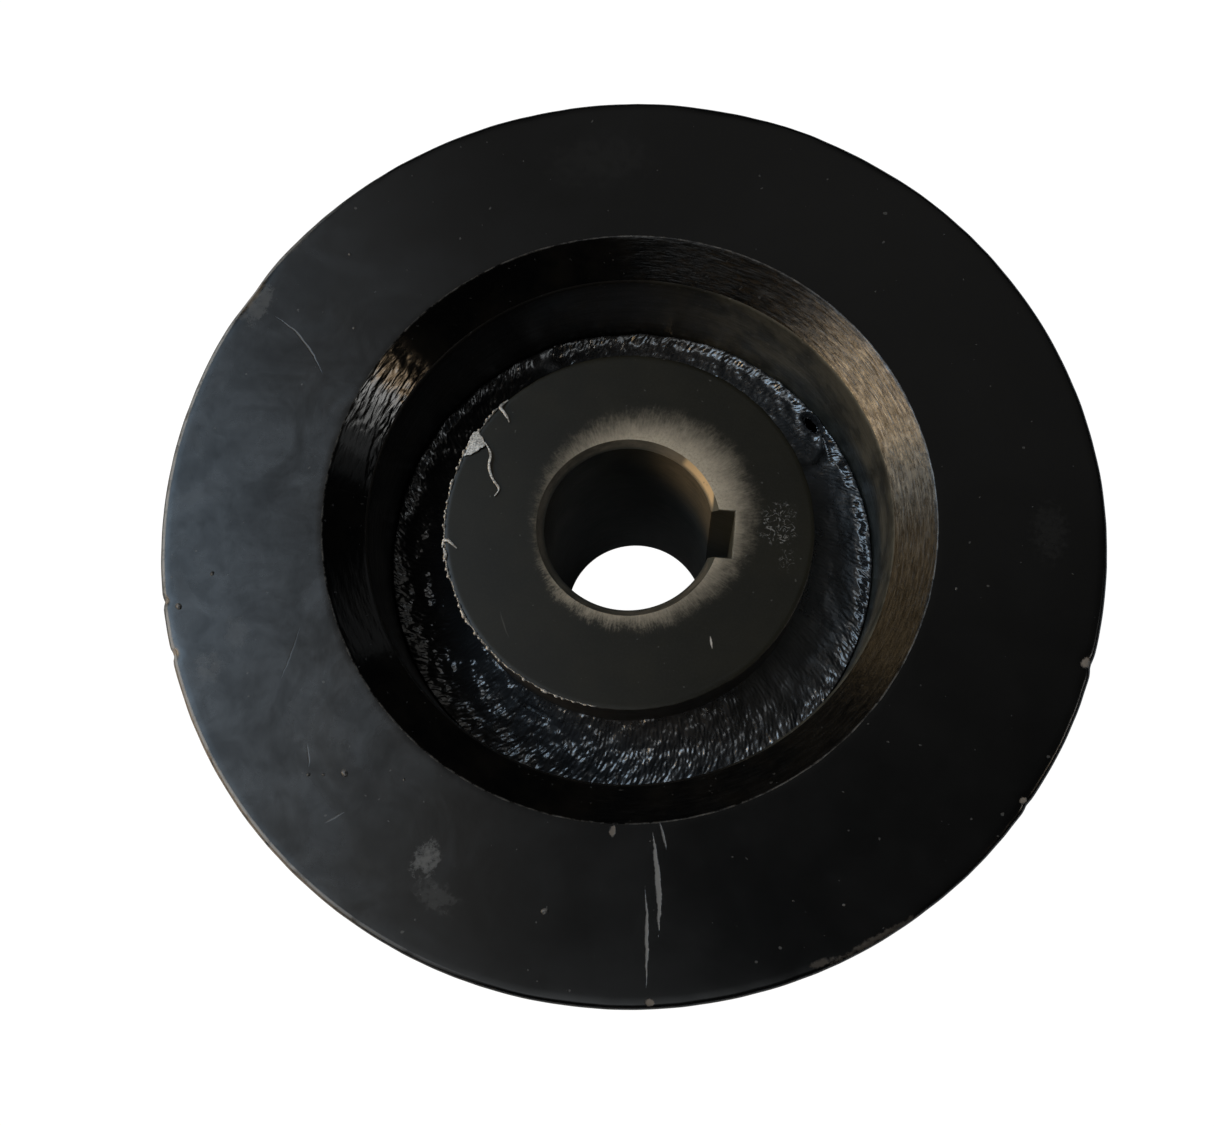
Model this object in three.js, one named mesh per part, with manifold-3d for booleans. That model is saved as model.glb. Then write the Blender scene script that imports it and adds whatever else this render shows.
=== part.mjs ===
// Flywheel: a heavy rim ring, a web plate and a keyed hub sleeve, joined by weld beads on both sides.
// Millimetres. +Z runs along the axis towards the front, where the hub sits deep in the rim.
// The hub's rear end face is at z = 0 and the keyway points along +X.

import * as THREE from 'three';
import { mergeVertices } from 'three/addons/utils/BufferGeometryUtils.js';
import Module from 'manifold-3d';

// Hub sleeve
const HUB_LENGTH = 60;
const HUB_RADIUS = 30.5;
const HUB_REAR_CHAMFER = 1;
const BORE_RADIUS = 14;
const BORE_CHAMFER = 1.2;
const KEYWAY_WIDTH = 8;
const KEYWAY_DEPTH = 3.3;

// Rim ring
const RIM_RADIUS = 75;
const RIM_WIDTH = 50;
const RIM_INNER_RADIUS = 42.5;
const RIM_EDGE_RADIUS = 1;
const RIM_AHEAD_OF_HUB = 8.2;
const RECESS_CHAMFER_WIDTH = 6.3;
const RECESS_CHAMFER_DEPTH = 4.7;

// Web plate and the weld beads on its two faces. A bead's face is hollow: from its edge on the rim it
// dips a little and then climbs towards the hub, along a curve pulled down by one control point.
const WEB_THICKNESS = 10;
const BEAD_DEPTH_IN_RIM = 24;
const BEAD_THICKNESS_AT_RIM = 2;
const BEAD_THICKNESS_AT_HUB = 7;
const BEAD_PULL_FROM_RIM = 3.5;
const BEAD_PULL_THICKNESS = -1.5;
const FIT_GAP = 0.3;

// Each bead is laid in three runs; these are the angles, in degrees, where the runs start.
const FRONT_RUN_STARTS = [33, 115, 240];
const REAR_RUN_STARTS = [60, 180, 300];

// Facets
const RING_SEGMENTS = 96;
const EDGE_SEGMENTS = 3;
const BEAD_FACE_SEGMENTS = 6;

// Heights
const HUB_FRONT = HUB_LENGTH;
const RIM_FRONT = HUB_FRONT + RIM_AHEAD_OF_HUB;
const RIM_REAR = RIM_FRONT - RIM_WIDTH;
const WEB_FRONT = RIM_FRONT - BEAD_DEPTH_IN_RIM - BEAD_THICKNESS_AT_RIM - FIT_GAP;
const WEB_REAR = WEB_FRONT - WEB_THICKNESS;

const paintedSteel = { color: 0x17181a, roughness: 0.36, metalness: 0.0 };
const turnedSteel = { color: 0x6b6660, roughness: 0.42, metalness: 0.8 };
const paintedBead = { color: 0x0f1012, roughness: 0.28, metalness: 0.0 };
const rawPlate = { color: 0x2b2a29, roughness: 0.6, metalness: 0.4 };

const manifold = await Module();
manifold.setup();

function toSolid(geometry) {
  const bare = geometry.clone();
  bare.deleteAttribute('normal');
  bare.deleteAttribute('uv');
  const merged = mergeVertices(bare, 1e-4);
  return new manifold.Manifold(new manifold.Mesh({
    numProp: 3,
    vertProperties: new Float32Array(merged.attributes.position.array),
    triVerts: new Uint32Array(merged.index.array),
  }));
}

function toGeometry(solid) {
  const mesh = solid.getMesh();
  const geometry = new THREE.BufferGeometry();
  geometry.setAttribute('position', new THREE.BufferAttribute(mesh.vertProperties, 3));
  geometry.setIndex(new THREE.BufferAttribute(mesh.triVerts, 1));
  geometry.computeVertexNormals();
  return geometry;
}

// A ring turned about Z from a closed outline of (radius, height) points, given anticlockwise.
function turned(outline) {
  const closed = [...outline, outline[0]];
  const geometry = new THREE.LatheGeometry(closed, RING_SEGMENTS);
  geometry.rotateX(Math.PI / 2);
  return geometry;
}

// Points of a round between two angles, in degrees, about a centre.
function roundedCorner(radius, height, size, from, to) {
  const points = [];
  for (let step = 0; step <= EDGE_SEGMENTS; step += 1) {
    const angle = THREE.MathUtils.degToRad(THREE.MathUtils.lerp(from, to, step / EDGE_SEGMENTS));
    points.push(new THREE.Vector2(radius + size * Math.cos(angle), height + size * Math.sin(angle)));
  }
  return points;
}

function rimRing() {
  const edge = RIM_EDGE_RADIUS;
  const recessEdge = RIM_INNER_RADIUS + RECESS_CHAMFER_WIDTH;
  return turned([
    new THREE.Vector2(RIM_INNER_RADIUS, RIM_REAR + RECESS_CHAMFER_DEPTH),
    new THREE.Vector2(recessEdge, RIM_REAR),
    ...roundedCorner(RIM_RADIUS - edge, RIM_REAR + edge, edge, -90, 0),
    ...roundedCorner(RIM_RADIUS - edge, RIM_FRONT - edge, edge, 0, 90),
    new THREE.Vector2(recessEdge, RIM_FRONT),
    new THREE.Vector2(RIM_INNER_RADIUS, RIM_FRONT - RECESS_CHAMFER_DEPTH),
  ]);
}

function webPlate() {
  const inner = HUB_RADIUS + FIT_GAP;
  const outer = RIM_INNER_RADIUS - FIT_GAP;
  return turned([
    new THREE.Vector2(inner, WEB_REAR),
    new THREE.Vector2(outer, WEB_REAR),
    new THREE.Vector2(outer, WEB_FRONT),
    new THREE.Vector2(inner, WEB_FRONT),
  ]);
}

function hubSleeve() {
  const boreMouth = BORE_RADIUS + BORE_CHAMFER;
  const sleeve = turned([
    new THREE.Vector2(BORE_RADIUS, BORE_CHAMFER),
    new THREE.Vector2(boreMouth, 0),
    new THREE.Vector2(HUB_RADIUS - HUB_REAR_CHAMFER, 0),
    new THREE.Vector2(HUB_RADIUS, HUB_REAR_CHAMFER),
    new THREE.Vector2(HUB_RADIUS, HUB_FRONT),
    new THREE.Vector2(boreMouth, HUB_FRONT),
    new THREE.Vector2(BORE_RADIUS, HUB_FRONT - BORE_CHAMFER),
  ]);
  // The cutter starts on the axis and runs past both end faces of the sleeve.
  const overrun = 2;
  const reach = BORE_RADIUS + KEYWAY_DEPTH;
  const cutter = new THREE.BoxGeometry(reach, KEYWAY_WIDTH, HUB_LENGTH + 2 * overrun);
  cutter.translate(reach / 2, 0, HUB_LENGTH / 2);
  return toGeometry(toSolid(sleeve).subtract(toSolid(cutter)));
}

// The whole bead between rim and hub, on the web face at webHeight. direction is +1 on the front and
// -1 on the rear.
function beadRing(webHeight, direction) {
  const inner = HUB_RADIUS + FIT_GAP;
  const outer = RIM_INNER_RADIUS - FIT_GAP;
  const root = webHeight + direction * FIT_GAP;
  const face = new THREE.QuadraticBezierCurve(
    new THREE.Vector2(outer, root + direction * BEAD_THICKNESS_AT_RIM),
    new THREE.Vector2(outer - BEAD_PULL_FROM_RIM, root + direction * BEAD_PULL_THICKNESS),
    new THREE.Vector2(inner, root + direction * BEAD_THICKNESS_AT_HUB),
  );
  const outline = [
    new THREE.Vector2(inner, root),
    new THREE.Vector2(outer, root),
    ...face.getPoints(BEAD_FACE_SEGMENTS),
  ];
  return turned(direction > 0 ? outline : outline.reverse());
}

// A wedge-shaped slice about Z, as wide and as tall as the flywheel, that picks one run out of a bead.
function slice(startAngle, endAngle) {
  const shape = new THREE.Shape();
  shape.absarc(0, 0, RIM_RADIUS, startAngle, endAngle, false);
  shape.lineTo(0, 0);
  return new THREE.ExtrudeGeometry(shape, { depth: RIM_FRONT, bevelEnabled: false });
}

function beadRuns(ring, starts) {
  const halfGap = FIT_GAP / 2 / HUB_RADIUS;
  const whole = toSolid(ring);
  return starts.map((start, index) => {
    const isLast = index === starts.length - 1;
    const end = isLast ? starts[0] + 360 : starts[index + 1];
    const wedge = slice(
      THREE.MathUtils.degToRad(start) + halfGap,
      THREE.MathUtils.degToRad(end) - halfGap,
    );
    return toGeometry(whole.intersect(toSolid(wedge)));
  });
}

function piece(name, geometry, look) {
  const mesh = new THREE.Mesh(geometry, new THREE.MeshStandardMaterial(look));
  mesh.name = name;
  return mesh;
}

const flywheel = new THREE.Group();
flywheel.add(piece('rim_ring', rimRing(), paintedSteel));
flywheel.add(piece('web_plate', webPlate(), rawPlate));
flywheel.add(piece('hub_sleeve', hubSleeve(), turnedSteel));

beadRuns(beadRing(WEB_FRONT, 1), FRONT_RUN_STARTS).forEach((run, index) => {
  flywheel.add(piece(`front_weld_run_${index + 1}`, run, paintedBead));
});
beadRuns(beadRing(WEB_REAR, -1), REAR_RUN_STARTS).forEach((run, index) => {
  flywheel.add(piece(`rear_weld_run_${index + 1}`, run, paintedBead));
});

export default flywheel;
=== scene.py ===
# The looks of a welded, black-painted steel flywheel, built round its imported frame.
# Lengths are worked out in millimetres, as in the CAD part, and scaled to metres when a mesh is made.
# Angles are degrees round the axis, from +X (the keyway) towards +Y.
import itertools
import math

import bpy
import numpy as np
from mathutils import Matrix, Vector


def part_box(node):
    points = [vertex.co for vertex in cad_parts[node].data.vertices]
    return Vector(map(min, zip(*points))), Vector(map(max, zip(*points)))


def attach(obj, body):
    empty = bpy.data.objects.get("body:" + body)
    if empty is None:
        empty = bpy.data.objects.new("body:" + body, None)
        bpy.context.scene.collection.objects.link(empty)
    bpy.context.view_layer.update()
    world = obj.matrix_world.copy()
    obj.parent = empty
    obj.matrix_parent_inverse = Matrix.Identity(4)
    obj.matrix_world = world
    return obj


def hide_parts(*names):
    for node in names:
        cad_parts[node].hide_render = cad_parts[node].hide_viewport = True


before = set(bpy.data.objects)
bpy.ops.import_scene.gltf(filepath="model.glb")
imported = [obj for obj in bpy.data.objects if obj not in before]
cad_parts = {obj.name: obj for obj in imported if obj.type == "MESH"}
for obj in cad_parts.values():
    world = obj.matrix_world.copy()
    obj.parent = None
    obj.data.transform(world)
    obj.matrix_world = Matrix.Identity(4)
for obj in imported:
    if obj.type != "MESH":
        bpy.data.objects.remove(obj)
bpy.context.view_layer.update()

MM = 0.001

# ---- sizes from the frame, in millimetres


def node_box(node):
    """Lowest and highest corner of a CAD node, in millimetres."""
    low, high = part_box(node)
    return low / MM, high / MM


RIM_LOW, RIM_HIGH = node_box("rim_ring")
HUB_LOW, HUB_HIGH = node_box("hub_sleeve")
WEB_LOW, WEB_HIGH = node_box("web_plate")
FIT_GAP = 0.3

RIM_RADIUS = RIM_HIGH.x
RIM_FRONT = RIM_HIGH.z
RIM_REAR = RIM_LOW.z
WALL_RADIUS = WEB_HIGH.x + FIT_GAP
CHAMFER_WIDTH = 6.3
CHAMFER_DEPTH = 4.7
RECESS_EDGE = WALL_RADIUS + CHAMFER_WIDTH
GRIT_ROOM = 0.2  # the rim's face is this much below its box, so that grit in the paint fits inside
RIM_FACE = RIM_FRONT - GRIT_ROOM

HUB_RADIUS = HUB_HIGH.x
HUB_FRONT = HUB_HIGH.z
HUB_REAR = HUB_LOW.z
HUB_REAR_CHAMFER = 1.0
BREAK_EDGE = 0.15
BORE_RADIUS = 14.0
BORE_CHAMFER = 1.2
BORE_MOUTH = BORE_RADIUS + BORE_CHAMFER
KEYWAY_HALF = 4.0
KEYWAY_FLOOR = BORE_RADIUS + 3.3

BEAD_AT_HUB = 7.0
REAR_RUN_STARTS = (60, 180, 300)


# ---- camera, lights and stage


def direction(azimuth, elevation):
    """Unit vector towards a place round the part: azimuth 0 is -Y and 90 is +X, as a camera stands."""
    a, e = math.radians(azimuth), math.radians(elevation)
    return Vector((math.sin(a) * math.cos(e), -math.cos(a) * math.cos(e), math.sin(e)))


VIEW_AZIMUTH = 14.0
VIEW_ELEVATION = 74.09
VIEW_ROLL = -8.61
VIEW_DISTANCE = 2.7175 * RIM_RADIUS
AIM_RIGHT = 0.0422 * RIM_RADIUS
AIM_UP = 0.1095 * RIM_RADIUS
AIM_HEIGHT = RIM_FRONT - 0.45
LENS = 38.06


def make_camera():
    """The camera stands above the front face and leans a little off the axis."""
    back = direction(VIEW_AZIMUTH, VIEW_ELEVATION)
    level = Vector((0, 0, 1)).cross(back).normalized()
    roll = Matrix.Rotation(math.radians(VIEW_ROLL), 3, back)
    right = roll @ level
    up = back.cross(right)
    place = Vector((0, 0, AIM_HEIGHT)) + back * VIEW_DISTANCE - right * AIM_RIGHT - up * AIM_UP
    data = bpy.data.cameras.new("camera")
    data.lens = LENS
    data.sensor_width = 36.0
    data.clip_start = 0.01
    data.clip_end = 20.0
    camera = bpy.data.objects.new("camera", data)
    camera.matrix_world = Matrix.Translation(place * MM) @ Matrix((right, up, back)).transposed().to_4x4()
    bpy.context.scene.collection.objects.link(camera)
    bpy.context.scene.camera = camera


def softbox(name, azimuth, elevation, distance, width, height, radiance, tint):
    """A flat soft light that faces the part. Sizes are metres, and radiance is its brightness as seen."""
    data = bpy.data.lights.new(name, "AREA")
    data.shape = "RECTANGLE"
    data.size = width
    data.size_y = height
    data.energy = radiance * math.pi * width * height
    data.color = tint
    light = bpy.data.objects.new(name, data)
    back = direction(azimuth, elevation)
    light.location = back * distance + Vector((0, 0, RIM_FRONT * MM))
    light.rotation_euler = back.to_track_quat("Z", "Y").to_euler()
    bpy.context.scene.collection.objects.link(light)


def glow(room, azimuth, elevation, reach, power, radiance, tint):
    """A soft patch of light on the room's walls, brightest at its middle and gone at its reach."""
    toward = room.node("ShaderNodeVectorMath")
    toward.operation = "DOT_PRODUCT"
    room.feed(toward.inputs[0], room.look)
    room.feed(toward.inputs[1], direction(azimuth, elevation))
    edge = math.cos(math.radians(reach))
    share = room.math("DIVIDE", Value(room, toward.outputs["Value"]) - edge, 1 - edge, clamp=True)
    level = room.math("POWER", share, power) * radiance
    return room.vector("MULTIPLY", room.join(level, level, level), tint)


def make_lights():
    """A window on the left that is warm near the ground, a small lamp on the right, and a dim room."""
    softbox("window_warm", 285, 34, 0.90, 0.44, 0.24, 8.6, (1.0, 0.72, 0.41))
    softbox("window_pale", 264, 30, 0.92, 0.20, 0.22, 3.4, (1.0, 0.93, 0.75))
    softbox("window_end", 250, 26, 0.94, 0.16, 0.18, 1.7, (1.0, 0.71, 0.37))
    softbox("window_low", 236, 21, 0.96, 0.34, 0.16, 1.4, (1.0, 0.70, 0.35))
    softbox("lamp_warm", 82.0, 39.5, 0.90, 0.048, 0.13, 5.4, (1.0, 0.70, 0.40))
    softbox("lamp_pale", 86.2, 38.2, 0.90, 0.092, 0.12, 5.4, (0.98, 0.98, 0.96))
    softbox("lamp_dim", 91.4, 37.2, 0.90, 0.072, 0.12, 2.4, (0.98, 0.98, 0.96))
    softbox("lamp_end", 97.6, 36, 0.92, 0.13, 0.16, 0.34, (0.95, 0.98, 1.0))
    softbox("lamp_tail", 104.6, 33.5, 0.92, 0.095, 0.16, 0.12, (0.95, 0.98, 1.0))
    softbox("lamp_low", 133, 22.5, 0.94, 0.32, 0.16, 0.13, (0.95, 0.98, 1.0))

    world = bpy.data.worlds.new("room")
    world.use_nodes = True
    room = Nodes(world.node_tree)
    room.tree.nodes.clear()
    room.look = room.node("ShaderNodeTexCoord").outputs["Generated"]
    upward = room.split(room.look)[2]
    high = room.step(upward, math.sin(math.radians(38)), math.sin(math.radians(52)))
    patches = (
        glow(room, 262, 42, 44, 2.2, 3.3, (1.0, 0.97, 0.92)),
        glow(room, 262, 42, 32, 1.2, 3.0, (0.05, 0.50, 1.0)),
        glow(room, 266, 72, 15, 1.0, 0.34, (1.0, 0.94, 0.84)),
        glow(room, 171, 55, 36, 1.5, 0.20, (1.0, 0.98, 0.93)),
        glow(room, 350, 69, 17, 1.0, 1.3, (0.92, 0.97, 1.0)),
    )
    base = room.step(upward, 0.12, 0.02, 0.006, 0.12)
    total = room.join(base, base, base)
    for patch in patches:
        total = room.vector("ADD", total, room.vector("MULTIPLY", patch, room.join(high, high, high)))
    background = room.node("ShaderNodeBackground")
    out = room.node("ShaderNodeOutputWorld")
    room.feed(background.inputs["Color"], total)
    room.feed(out.inputs[0], background.outputs[0])
    bpy.context.scene.world = world


FLOOR_HEIGHT = HUB_REAR * MM - 0.0005
VEIL_HEIGHT = FLOOR_HEIGHT + 0.0003
FLOOR_RADIUS = 4.0
BACKDROP_RADIUS = 3.9


def sheet(name, points, faces, material):
    """A sheet of the stage, from points in metres."""
    mesh = bpy.data.meshes.new(name)
    mesh.from_pydata(points, [], faces)
    mesh.materials.append(material)
    made = bpy.data.objects.new(name, mesh)
    bpy.context.scene.collection.objects.link(made)
    return made


def disc(name, radius, height, material):
    """A flat round sheet."""
    turns = [math.tau * step / 96 for step in range(96)]
    points = [(radius * math.cos(turn), radius * math.sin(turn), height) for turn in turns]
    return sheet(name, points, [range(96)], material)


def dome(name, radius, height, material):
    """Half a sphere that stands on the floor."""
    rows, columns = 13, 64
    tilt = np.linspace(0, math.pi / 2 - 0.01, rows)[:, None]
    turn = np.arange(columns)[None, :] * math.tau / columns
    sphere = (np.cos(tilt) * np.cos(turn), np.cos(tilt) * np.sin(turn), np.sin(tilt) + 0 * turn)
    points = np.stack(sphere, axis=-1).reshape(-1, 3) * radius + (0, 0, height)
    cap = range((rows - 1) * columns, rows * columns)
    return sheet(name, points.tolist(), grid_faces(rows, columns, False, True) + [cap], material)


def white_light(name, share, strength):
    """A glowing white sheet, that share of it solid and the rest clear."""
    white = bpy.data.materials.new(name)
    white.use_nodes = True
    tree = white.node_tree
    tree.nodes.clear()
    clear = tree.nodes.new("ShaderNodeBsdfTransparent")
    shine = tree.nodes.new("ShaderNodeEmission")
    mix = tree.nodes.new("ShaderNodeMixShader")
    out = tree.nodes.new("ShaderNodeOutputMaterial")
    mix.inputs[0].default_value = share
    shine.inputs["Strength"].default_value = strength
    tree.links.new(clear.outputs[0], mix.inputs[1])
    tree.links.new(shine.outputs[0], mix.inputs[2])
    tree.links.new(mix.outputs[0], out.inputs[0])
    return white


def make_stage():
    """A plain white floor, with a white veil over it and a white backdrop that only the camera sees."""
    paper = bpy.data.materials.new("floor_paper")
    paper.use_nodes = True
    shader = paper.node_tree.nodes["Principled BSDF"]
    shader.inputs["Base Color"].default_value = (0.85, 0.85, 0.85, 1)
    shader.inputs["Roughness"].default_value = 0.9
    disc("floor", FLOOR_RADIUS, FLOOR_HEIGHT, paper)

    veil = disc("floor_veil", FLOOR_RADIUS, VEIL_HEIGHT, white_light("floor_veil_white", 0.93, 1.10))
    backdrop = dome("backdrop", BACKDROP_RADIUS, FLOOR_HEIGHT, white_light("backdrop_white", 1.0, 1.0))
    for screen in (veil, backdrop):
        screen.visible_diffuse = False
        screen.visible_glossy = False
        screen.visible_transmission = False
        screen.visible_shadow = False
    bpy.context.scene.view_settings.view_transform = "Standard"


# ---- noise and meshes


def noise(points, seed):
    """Smooth gradient noise, about -1 to 1, at an (..., 3) array of points."""
    draw = np.random.default_rng(seed)
    order = np.tile(draw.permutation(256), 3)
    slopes = draw.normal(size=(256, 3))
    slopes /= np.linalg.norm(slopes, axis=1, keepdims=True)
    cell = np.floor(points).astype(int)
    local = points - cell
    fade = local ** 3 * (local * (local * 6 - 15) + 10)
    total = np.zeros(points.shape[:-1])
    for corner in itertools.product((0, 1), repeat=3):
        key = (cell + corner) % 256
        slope = slopes[order[order[order[key[..., 0]] + key[..., 1]] + key[..., 2]]]
        weight = np.prod(np.where(corner, fade, 1 - fade), axis=-1)
        total += weight * np.sum(slope * (local - corner), axis=-1)
    return total * 1.7


def noise2(across, along, seed):
    """Noise over two arrays of the same shape."""
    return noise(np.stack([across, along, np.full_like(across, 0.37)], axis=-1), seed)


def ring_noise(angle, lumps, seed):
    """Noise that closes on itself round the axis, with about that many lumps in a turn."""
    reach = lumps / math.tau
    flat = np.stack([reach * np.cos(angle), reach * np.sin(angle), np.full_like(angle, 0.5)], axis=-1)
    return noise(flat, seed)


def smooth(low, high, value):
    """0 below low, 1 above high and a smooth step between."""
    share = np.clip((value - low) / (high - low), 0, 1)
    return share * share * (3 - 2 * share)


def between(stretch, value):
    """1 over the middle of a (start, full, fading, end) stretch, and 0 beyond it."""
    start, full, fading, end = stretch
    return smooth(start, full, value) * smooth(end, fading, value)


def away(angle, place):
    """The turn from a place in degrees to an angle in radians, the short way round, in radians."""
    return (angle - math.radians(place) + math.pi) % math.tau - math.pi


SHARP_ANGLE = 32.0


def link_mesh(name, vertices, faces, materials, slots=None):
    """Makes an object from millimetre vertices, smooth where its faces meet at under the sharp angle."""
    mesh = bpy.data.meshes.new(name)
    mesh.from_pydata((np.asarray(vertices) * MM).tolist(), [], faces)
    for material in materials:
        mesh.materials.append(material)
    if slots is not None:
        mesh.polygons.foreach_set("material_index", np.asarray(slots, dtype=np.int32))
    mesh.polygons.foreach_set("use_smooth", np.ones(len(mesh.polygons), dtype=bool))
    mesh.set_sharp_from_angle(angle=math.radians(SHARP_ANGLE))
    mesh.update()
    made = bpy.data.objects.new(name, mesh)
    bpy.context.scene.collection.objects.link(made)
    return made


def grid_faces(rows, columns, close_rows, close_columns):
    """Quads of a grid of rows by columns, closed either way round."""
    row = np.arange(rows if close_rows else rows - 1)
    column = np.arange(columns if close_columns else columns - 1)
    a, b = np.meshgrid(row, column, indexing="ij")
    next_a, next_b = (a + 1) % rows, (b + 1) % columns
    corners = (a * columns + b, next_a * columns + b, next_a * columns + next_b, a * columns + next_b)
    return np.stack(corners, axis=-1).reshape(-1, 4).tolist()


def capped_faces(rows, columns):
    """Faces of a closed solid whose skin is rows of closed rings, with a flat cap at each end."""
    first = list(range(columns))[::-1]
    last = [(rows - 1) * columns + column for column in range(columns)]
    return grid_faces(rows, columns, False, True) + [first, last]


def rounded_outline(corners):
    """Points round a closed outline of (radius, height, round, step, slot) corners.

    Each corner is rounded, and the straight that leaves it is cut to about its step. Gives the points
    and, for the stretch that leaves each point, its slot."""
    places = np.array([corner[:2] for corner in corners])
    onward = np.roll(places, -1, axis=0) - places
    lengths = np.linalg.norm(onward, axis=1)
    onward /= lengths[:, None]
    back = -np.roll(onward, 1, axis=0)
    turns = np.arccos(np.sum(onward * back, axis=1))
    reaches = np.array([corner[2] for corner in corners]) / np.tan(turns / 2)
    points, slots = [], []
    for index, (here, after, before, turn, reach) in enumerate(zip(places, onward, back, turns, reaches)):
        size, step, slot = corners[index][2:]
        inward = (before + after) / np.linalg.norm(before + after)
        centre = here + inward * size / math.sin(turn / 2)
        start, end = here + before * reach - centre, here + after * reach - centre
        sweep = math.pi - turn
        arcs = max(3, round(math.degrees(sweep) / 16))
        for share in np.arange(arcs + 1) / arcs:
            blend = math.sin((1 - share) * sweep) * start + math.sin(share * sweep) * end
            points.append(centre + blend / math.sin(sweep))
        straight = lengths[index] - reach - reaches[(index + 1) % len(corners)]
        cuts = max(1, round(straight / step))
        for share in np.arange(1, cuts) / cuts:
            points.append(here + after * (reach + straight * share))
        slots += [slot] * (len(points) - len(slots))
    return np.array(points), np.array(slots)


# ---- materials


class Value:
    """A number that a node works out. Arithmetic on it adds the nodes that do the sum."""

    def __init__(self, nodes, socket):
        self.nodes = nodes
        self.socket = socket

    def __add__(self, other):
        return self.nodes.math("ADD", self, other)

    def __sub__(self, other):
        return self.nodes.math("SUBTRACT", self, other)

    def __rsub__(self, other):
        return self.nodes.math("SUBTRACT", other, self)

    def __mul__(self, other):
        return self.nodes.math("MULTIPLY", self, other)

    def __truediv__(self, other):
        return self.nodes.math("DIVIDE", self, other)


class Nodes:
    """Adds nodes to a node tree. Each method gives back what its node works out."""

    def __init__(self, tree):
        self.tree = tree

    def node(self, kind):
        return self.tree.nodes.new(kind)

    def feed(self, target, value):
        """Links a socket or a Value, or sets a plain number, vector or colour."""
        source = value.socket if isinstance(value, Value) else value
        if isinstance(source, bpy.types.NodeSocket):
            self.tree.links.new(source, target)
        elif source is not None:
            target.default_value = source

    def math(self, operation, a, b=None, c=None, clamp=False):
        node = self.node("ShaderNodeMath")
        node.operation = operation
        node.use_clamp = clamp
        for target, value in zip(node.inputs, (a, b, c)):
            self.feed(target, value)
        return Value(self, node.outputs[0])

    def vector(self, operation, a, b=None, scale=None):
        node = self.node("ShaderNodeVectorMath")
        node.operation = operation
        self.feed(node.inputs[0], a)
        self.feed(node.inputs[1], b)
        if scale is not None:
            node.inputs["Scale"].default_value = scale
        return node.outputs["Vector"]

    def split(self, vector):
        """The three parts of a vector."""
        node = self.node("ShaderNodeSeparateXYZ")
        self.feed(node.inputs[0], vector)
        return [Value(self, part) for part in node.outputs]

    def join(self, x, y, z=0.0):
        node = self.node("ShaderNodeCombineXYZ")
        for target, value in zip(node.inputs, (x, y, z)):
            self.feed(target, value)
        return node.outputs[0]

    def step(self, value, low, high, start=0.0, end=1.0):
        """Smooth step of a value from low to high."""
        node = self.node("ShaderNodeMapRange")
        node.interpolation_type = "SMOOTHSTEP"
        for target, given in zip(node.inputs, (value, low, high, start, end)):
            self.feed(target, given)
        return Value(self, node.outputs[0])


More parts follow.
